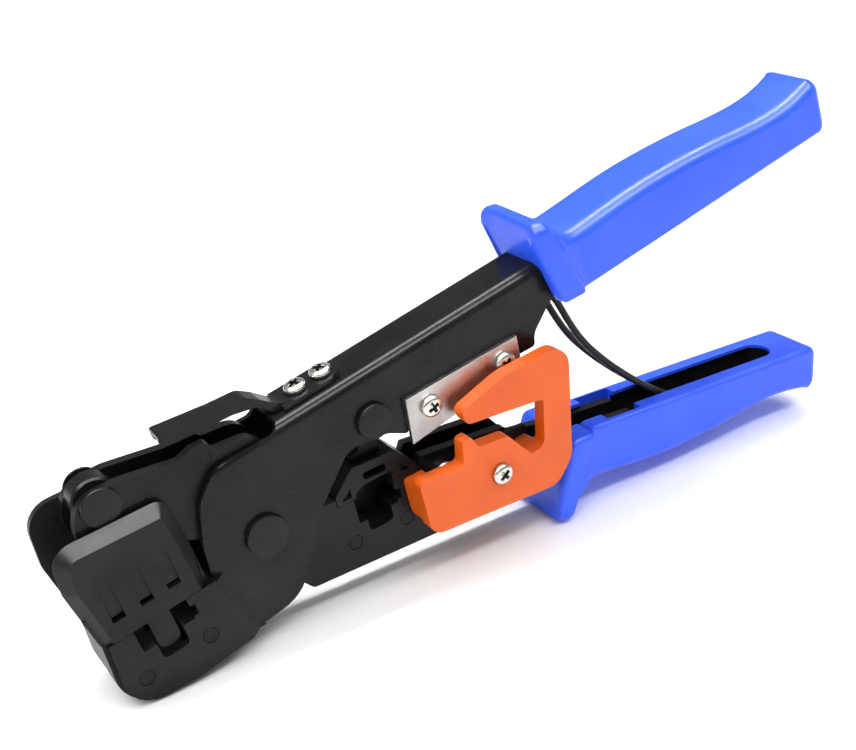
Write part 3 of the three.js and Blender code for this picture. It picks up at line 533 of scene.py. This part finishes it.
def pan_screw(name, place, turn, shank_length, body, head=2.5, height=1.5):
    profile = [
        (0, -shank_length),
        (1.2, -shank_length),
        (1.2, 0),
        (head - 0.08, 0),
        (head, 0.12),
        (head, height * 0.45),
        (head * 0.965, height * 0.62),
        (head * 0.86, height * 0.8),
        (head * 0.66, height * 0.93),
        (head * 0.36, height * 0.99),
        (0, height),
    ]
    dome = turned(profile, turns=48)
    depth = height * 0.95
    arms = [wing(head * 1.42, head * 0.4, depth, height) for _ in range(2)]
    quarter_turn = Matrix.Rotation(math.pi / 2, 3, "Y")
    bmesh.ops.rotate(arms[1], verts=arms[1].verts, cent=(0, 0, 0), matrix=quarter_turn)
    bm = boolean(dome, arms)
    # painted shade: the faces inside the cross recess take the near-black die steel instead of nickel
    for face in bm.faces:
        spot = face.calc_center_median()
        below_dome = 0.1 < spot.y < height * 0.86
        face.material_index = int(below_dome and math.hypot(spot.x, spot.z) < head * 0.74)
    bm.transform(Matrix.Translation(place) @ turn)
    piece(name + "_cross", bm, body, [nickel, die_steel], [name], edge=0.06,
          angle=38, steps=2)


spine_slope = 0.115


def facing_front(spin):
    return Matrix.Rotation(math.pi, 4, "X") @ Matrix.Rotation(spin, 4, "Y")


def facing_up(spin):
    flat = Matrix.Rotation(-math.atan(spine_slope), 4, "Y") @ Matrix.Rotation(math.pi / 2, 4, "X")
    return flat @ Matrix.Rotation(spin, 4, "Y")


def on_strap(x):
    return (x, 0, 21.25 + spine_slope * x + strap_lift)


blade_seat = -8.15
strap_lift = 1.4
screws = [
    ("blade_screw_front", (43.1, blade_seat, 10.9), facing_front(0.35), 2.6, "upper_handle"),
    ("blade_screw_rear", (63, blade_seat, 12.3), facing_front(0.9), 2.6, "upper_handle"),
    ("counter_blade_screw", (43.2, -6.65, -7), facing_front(0.2), 3.8, "lower_handle"),
    ("guard_screw", (53.6, -13.65, -10), facing_front(0.6), 10.5, "lower_handle"),
    ("strap_screw_front", on_strap(17.6), facing_up(0.5), 3.4, "upper_handle"),
    ("strap_screw_rear", on_strap(23.9), facing_up(0.8), 3.4, "upper_handle"),
]
for name, place, turn, length, body in screws:
    pan_screw(name, place, turn, length, body)
print("screws cut", len(screws))

# %% [markdown]
# The guard is one orange moulding: a hooked wall over the cutter with a boss behind it that meets the
# lever. Its plan is drawn once and pushed through the wall's thickness, and its rim is well rounded.

# %% Blade guard
guard_inner = -9.95
guard_outer = -13.55
guard_plan = [
    (33.6, -2.2, 2), (33.8, -16.4, 3.5), (67.6, -20.6, 4.5), (72.6, -15.2, 5), (76.9, 12.9, 4.6),
    (59, 12.6, 12), (47.2, 9.2, 1.6), (48, 5.6, 1.6), (67.9, 2.4, 0.8),
    (65.9, -9, 2), (62.2, -9.4, 1), (57.2, -2, 1.2), (49.6, -1, 1), (48.2, 2.2, 0.9),
    (46, 2.2, 0.9), (45, -3.4, 1.2), (37.4, -2.9, 1),
]
boss_plan = [
    (33.8, -5, 1), (38.9, -5, 0.3), (38.9, -10.7, 0.3), (46.8, -10.7, 0.3), (48.8, -8.8, 0.3),
    (62, -9.4, 0.3), (66, -9.4, 0.3), (71, -14.6, 3), (67.4, -20.2, 4), (34, -16, 3.5),
]
wall = plate(guard_plan, guard_outer, guard_inner)
boss = plate(boss_plan, guard_inner - 1, -5.1)
piece("blade_guard_moulded", boolean(wall, [boss], "UNION"), "lower_handle",
      orange_plastic, ["blade_guard"], edge=0.7, angle=40, steps=4)
print("guard moulded")

# %% [markdown]
# The grips are moulded over the steel. A grip is a run of rounded sections from the finger flange to
# the tail: each section is a circle pulled out to a rounded rectangle, and neighbours are bridged.
# U runs along the grip's inner face and V stands away from the other handle.

# %% Helper: grip sections
def side_frame(origin, degrees, side):
    angle = math.radians(degrees)
    along = Vector((math.cos(angle), 0, math.sin(angle)))
    out = Vector((-along.z * side, 0, along.x * side))
    across = Vector((0, 1, 0))
    start = Vector((origin[0], 0, origin[1]))
    return Matrix.Translation(start) @ Matrix((along, across, out)).transposed().to_4x4()


def section(bm, low, high, half, corner, bow=0.0, sides=16):
    """A rounded rectangle from low (u, v) to high (u, v), half wide each way, bowed along u."""
    ring = bmesh.ops.create_circle(bm, segments=4 * sides, radius=1)["verts"]
    low, high = Vector(low), Vector(high)
    rise = (high - low).length
    corner_low, corner_high = corner
    for i, vert in enumerate(ring):
        quarter, step = divmod(i, sides)
        right = quarter in (0, 3)
        top = quarter in (0, 1)
        radius = corner_high if top else corner_low
        turn = math.radians(90) * (quarter + step / (sides - 1))
        centre_y = (half - radius) * (1 if right else -1)
        centre_v = rise - radius if top else radius
        y = centre_y + radius * math.cos(turn)
        share = (centre_v + radius * math.sin(turn)) / rise
        spot = low.lerp(high, share)
        vert.co = (spot.x - bow * 4 * share * (1 - share), y, spot.y)
    edges = {edge for vert in ring for edge in vert.link_edges}
    return sorted(edges, key=lambda edge: edge.index), ring


def loft(rows):
    bm = bmesh.new()
    rings = [section(bm, *row) for row in rows]
    for (edges_a, _), (edges_b, _) in zip(rings, rings[1:]):
        bmesh.ops.bridge_loops(bm, edges=edges_a + edges_b)
    bm.faces.new(rings[0][1])
    bm.faces.new(rings[-1][1])
    bmesh.ops.recalc_face_normals(bm, faces=bm.faces)
    return bm


# %% Grip shapes
def hermite(start, end, slope_in, slope_out, t):
    return (
        start * (2 * t**3 - 3 * t**2 + 1) + slope_in * (t**3 - 2 * t**2 + t)
        + end * (3 * t**2 - 2 * t**3) + slope_out * (t**3 - t**2)
    )


def smooth_height(points, u):
    """Height at u of a smooth line through the (u, v) points."""
    last = len(points) - 2
    i = next((k for k in range(last + 1) if u <= points[k + 1][0]), last)

    def slope(k):
        (u0, v0), (u1, v1) = points[max(k - 1, 0)], points[min(k + 1, last + 1)]
        return (v1 - v0) / (u1 - u0)

    (u0, v0), (u1, v1) = points[i], points[i + 1]
    t = min(max((u - u0) / (u1 - u0), 0), 1)
    return hermite(v0, v1, slope(i) * (u1 - u0), slope(i + 1) * (u1 - u0), t)


def grip(length, neck, tail, flange):
    wide = flange["half"]
    front_low, front_high, front_bow = flange["front"]
    back_low, back_high, back_bow = flange["back"]
    half = 8.2

    def inset(low, high, by):
        low, high = Vector(low), Vector(high)
        pull = (high - low).normalized() * by
        return tuple(low + pull), tuple(high - pull)

    rows = []
    for by, along in ((1.9, 0.0), (0.75, 0.25), (0.12, 0.85), (0.0, 1.5)):
        low, high = inset(front_low, front_high, by)
        low, high = (low[0] + along, low[1]), (high[0] + along, high[1])
        rows.append((low, high, wide - by, (1.6, 2.6), front_bow))
    for by, along in ((0.0, -1.4), (0.12, -0.7), (0.75, -0.15), (1.5, 0.0)):
        low, high = inset(back_low, back_high, by)
        low, high = (low[0] + along, low[1]), (high[0] + along, high[1])
        rows.append((low, high, wide - by, (1.6, 2.6), back_bow))
    outline = [
        (-2.6, 15.2), (1.5, 14.3), (0.05 * length, 14.4), (0.3 * length, 15.1),
        (0.52 * length, (15.1 + neck) / 2 + 0.6), (0.76 * length, neck),
        (0.88 * length, neck + 0.1), (0.97 * length, tail),
    ]
    rows.append(((back_low[0] + 0.3, 0.35), (-3.1, 16.6), half + 0.9, (1.4, 3.0), back_bow))
    rows.append(((back_low[0] + 0.8, 0.1), (-1.6, 15.2), half + 0.3, (1.3, 3.2), back_bow * 0.5))
    count = 22
    for i in range(count):
        u = 1.2 + (length - 2.6 - 1.2) * i / (count - 1)
        swell = 0.05 * math.sin(math.pi * u / length)
        rows.append(((u, 0.0), (u, smooth_height(outline, u)), half + swell, (1.3, 3.0), 0.0))
    for along, by in ((0.0, 0.0), (0.9, 0.3), (1.9, 1.1), (2.5, 2.2)):
        u = length - 2.5 + along
        rows.append(((u, by), (u, tail - by), half - by, (1.4, 2.6), 0.0))
    return loft(rows)


def slot_cutter(end, half, depth, round_end=0.0):
    """A groove along the inner face, with a round end if asked."""
    bm = box((-20, -half, -2), (end, half, depth))
    corners = [e for e in bm.edges if all(v.co.x > end - 0.01 for v in e.verts)
               and abs(e.verts[0].co.z - e.verts[1].co.z) > 1]
    if round_end:
        bmesh.ops.bevel(bm, geom=corners, offset=round_end, offset_type="OFFSET", affect="EDGES",
                        segments=10, profile=0.5, material=-1)
    return bm


def darken_inside(bm, lip, half, depth, end):
    """Faces inside the groove, below its lip, show the black steel that lines it."""
    whole = bm.verts[:] + bm.edges[:] + bm.faces[:]
    bmesh.ops.bisect_plane(bm, geom=whole, plane_co=(0, 0, lip), plane_no=(0, 0, 1))
    for face in bm.faces:
        u, y, v = face.calc_center_median()
        front_skin = u < -3 and face.normal.x < -0.5
        inside = -11 < u < end and abs(y) < half and lip < v < depth
        face.material_index = int(inside and not front_skin)


print("helpers ready: grip, slot_cutter, darken_inside")

# %% Upper grip
slot_half = 4.05
slot_depth = 5.75
frame_half = 6.85
upper_shape = grip(77, 12, 13.8, {
    "half": 10.7, "front": ((-7.8, 0.7), (-9.9, 22.0), 3.0), "back": ((-0.9, 0.3), (-5.9, 21.7), -0.6),
})
upper_cuts = [
    slot_cutter(66, slot_half, slot_depth),
    box((-20, -frame_half, 0.9), (66, frame_half, 9.4)),
]
upper_shape = boolean(upper_shape, upper_cuts)
darken_inside(upper_shape, 0.9, 6.87, 9.5, 66.2)
upper_shape.transform(side_frame((87.6, 19.8), 7.6, 1))
piece("upper_grip_moulded", upper_shape, "upper_handle", [blue_plastic, die_steel],
      ["upper_grip"], edge=0, angle=42)
print("upper grip moulded")

# %% Lower grip
lower_shape = grip(73.5, 10.9, 12, {
    "half": 10.7, "front": ((-7.4, 0.3), (-12.3, 21.3), 1.2), "back": ((-0.7, 0.2), (-8.0, 21.4), -0.4),
})
lower_cuts = [
    slot_cutter(62.5, slot_half, slot_depth, 3.9),
    box((-20, -5.05, 1.15), (60, 5.05, 9.0)),
    box((5.5, -6.7, -2), (15.5, 6.7, 5)),
]
lower_shape = boolean(lower_shape, lower_cuts)
darken_inside(lower_shape, 0.8, 5.2, 9.2, 62.6)
lower_shape.transform(side_frame((82.9, -15.1), -9.3, -1))
piece("lower_grip_moulded", lower_shape, "lower_handle", [blue_plastic, die_steel],
      ["lower_grip"], edge=0, angle=42)
print("lower grip moulded")

# %% [markdown]
# The return spring is one round wire bent double. Its route is a smooth line from its pin to the
# slot; a curve with a round bevel gives an even wire, made a mesh last.

# %% Return spring
leg_offset = 2.9
wire = 0.85
pin_x, pin_z = 77.5, 24.8
hook = 1.5 + wire + 0.3
leg = [
    (pin_x - hook, pin_z - 0.6), (pin_x - hook * 0.72, pin_z + hook * 0.72), (pin_x, pin_z + hook),
    (pin_x + hook * 0.75, pin_z + hook * 0.7), (pin_x + hook + 0.5, pin_z - 1), (81.2, 20.4),
    (82.9, 16), (84.9, 10.4), (87.7, 4.2), (91.7, -2), (96.2, -7.8), (101.3, -13.6), (107, -19.4), (111.6, -23.6),
]
route = [(x, -leg_offset, z) for x, z in leg]
route += [(113, -leg_offset * 0.45, -24.7), (113, leg_offset * 0.45, -24.7)]
route += [(x, leg_offset, z) for x, z in reversed(leg)]
curve = bpy.data.curves.new("wire", "CURVE")
curve.dimensions = "3D"
curve.bevel_depth = wire
curve.bevel_resolution = 5
curve.resolution_u = 8
curve.use_fill_caps = True
line = curve.splines.new("BEZIER")
line.bezier_points.add(len(route) - 1)
for point, place in zip(line.bezier_points, route):
    point.co = place
    point.handle_left_type = point.handle_right_type = "AUTO"
holder = bpy.data.objects.new("wire", curve)
bpy.context.scene.collection.objects.link(holder)
ready = holder.evaluated_get(bpy.context.evaluated_depsgraph_get())
spring = bmesh.new()
spring.from_mesh(ready.to_mesh())
ready.to_mesh_clear()
bpy.data.objects.remove(holder)
piece("return_spring_wire", spring, "spring", wire_steel, ["return_spring"],
      edge=0, angle=50)
print("spring wire drawn")

# %% [markdown]
# The floor is plain and pale, under soft studio light: long panels above and in front, a square one
# on the left, and a broad soft sky. Two more panels act on gloss alone: they draw the highlights
# along bends and chamfers without lighting the plastics and the floor any further.

# %% Floor and surroundings
floor_mesh = bpy.data.meshes.new("floor")
floor_bm = bmesh.new()
bmesh.ops.create_grid(floor_bm, x_segments=1, y_segments=1, size=6)
floor_bm.to_mesh(floor_mesh)
floor_bm.free()
floor = bpy.data.objects.new("floor", floor_mesh)
bpy.context.scene.collection.objects.link(floor)
floor_material, nodes, links, shader, place = new_material("pale floor", Roughness=0.7)
shade = ramp(nodes, links, noise(nodes, links, place, 3, 2), 0.2, 0.8, (0.94,) * 3, (0.96,) * 3)
links.new(shade, shader.inputs["Base Color"])
floor_mesh.materials.append(floor_material)

world = bpy.data.worlds.new("studio")
bpy.context.scene.world = world
world.use_nodes = True
background = world.node_tree.nodes["Background"]
background.inputs["Color"].default_value = (1, 1, 1, 1)
background.inputs["Strength"].default_value = 0.34
print("floor and surroundings ready")


# %% Lights
def panel(name, place, size, power, only_gloss=False):
    data = bpy.data.lights.new(name, "AREA")
    data.shape = "RECTANGLE"
    data.size, data.size_y = size
    data.energy = power
    light = bpy.data.objects.new(name, data)
    light.location = place
    light.visible_diffuse = not only_gloss
    aim = Vector((0, 0, 0.04)) - Vector(place)
    light.rotation_euler = aim.to_track_quat("-Z", "Y").to_euler()
    bpy.context.scene.collection.objects.link(light)


panel("top panel", (0.0, 0.16, 1.0), (1.5, 0.09), 9)
panel("front panel", (0.0, -0.52, 0.85), (1.5, 0.09), 4.5)
panel("left panel", (-0.95, -0.1, 0.5), (0.5, 0.5), 2.0)
panel("top glint", (0.0, 0.2, 0.98), (1.5, 0.26), 24, only_gloss=True)
panel("front glint", (0.0, -0.52, 0.83), (1.5, 0.2), 15, only_gloss=True)

sun_data = bpy.data.lights.new("sky", "SUN")
sun_data.energy = 1.45
sun_data.angle = math.radians(70)
sun = bpy.data.objects.new("sky", sun_data)
sun.rotation_euler = (math.radians(12), math.radians(-8), 0)
bpy.context.scene.collection.objects.link(sun)
print("lights placed")

# %% [markdown]
# The camera looks from the front left and above, and is rolled so that the tool climbs to the right.

# %% Camera
camera_data = bpy.data.cameras.new("camera")
camera_data.sensor_width = 36
camera_data.lens = 58.8785
camera_data.clip_start = 0.01
camera = bpy.data.objects.new("camera", camera_data)
bpy.context.scene.collection.objects.link(camera)
turn = TOOL.to_3x3().normalized()
right = turn @ Vector((0.8281, -0.5227, -0.2026))
up = turn @ Vector((0.4128, 0.3239, 0.8513))
back = turn @ Vector((-0.3794, -0.7886, 0.4840))
eye = TOOL @ Vector((-68.97, -243.34, 162.42))
placing = Matrix((right, up, back)).transposed().to_4x4()
camera.matrix_world = Matrix.Translation(eye) @ placing
bpy.context.scene.camera = camera
bpy.context.scene.view_settings.view_transform = "Standard"
print("camera at", [round(v, 3) for v in camera.location])
